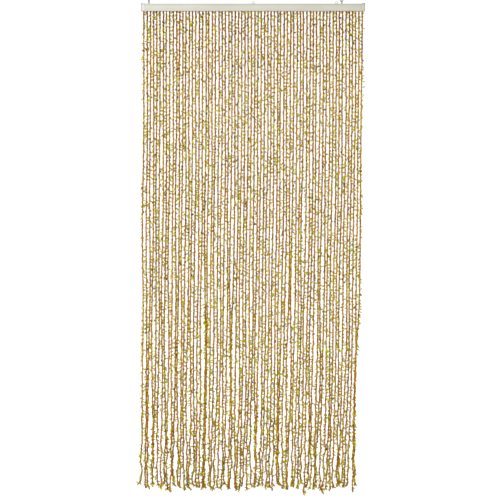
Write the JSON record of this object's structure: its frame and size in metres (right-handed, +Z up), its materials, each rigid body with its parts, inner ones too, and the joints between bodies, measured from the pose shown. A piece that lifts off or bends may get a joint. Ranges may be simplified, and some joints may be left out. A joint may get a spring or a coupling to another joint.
{
  "type": "foliage door curtain with rail and hooks",
  "caption": "Door curtain of leafy two-ply strings on a heading strip, held in a plastic rail that hangs by eyes on wire hooks.",
  "frame": {"origin": "centre of the rail's flat back face", "axes": "+Z up along the strings, +Y out of the rail's back towards what it hangs on, +X to the right as seen from the front, so the front faces -Y"},
  "size_m": [0.9123, 0.0186, 2.0079],
  "materials": {
    "rail_plastic": "satin",
    "cap_plastic": "satin",
    "eye_wire": "satin",
    "hook_wire": "satin",
    "string_cord": "matte",
    "leaf_cloth": "matte"
  },
  "bodies": {
    "root": {"rail": "rail_plastic", "end_cap_left": "cap_plastic", "end_cap_right": "cap_plastic", "eye_left": "eye_wire", "eye_middle": "eye_wire", "eye_spare": "eye_wire", "eye_right": "eye_wire", "hook_left": "hook_wire", "hook_right": "hook_wire", "leaf_strings": "string_cord"}
  },
  "joints": []
}
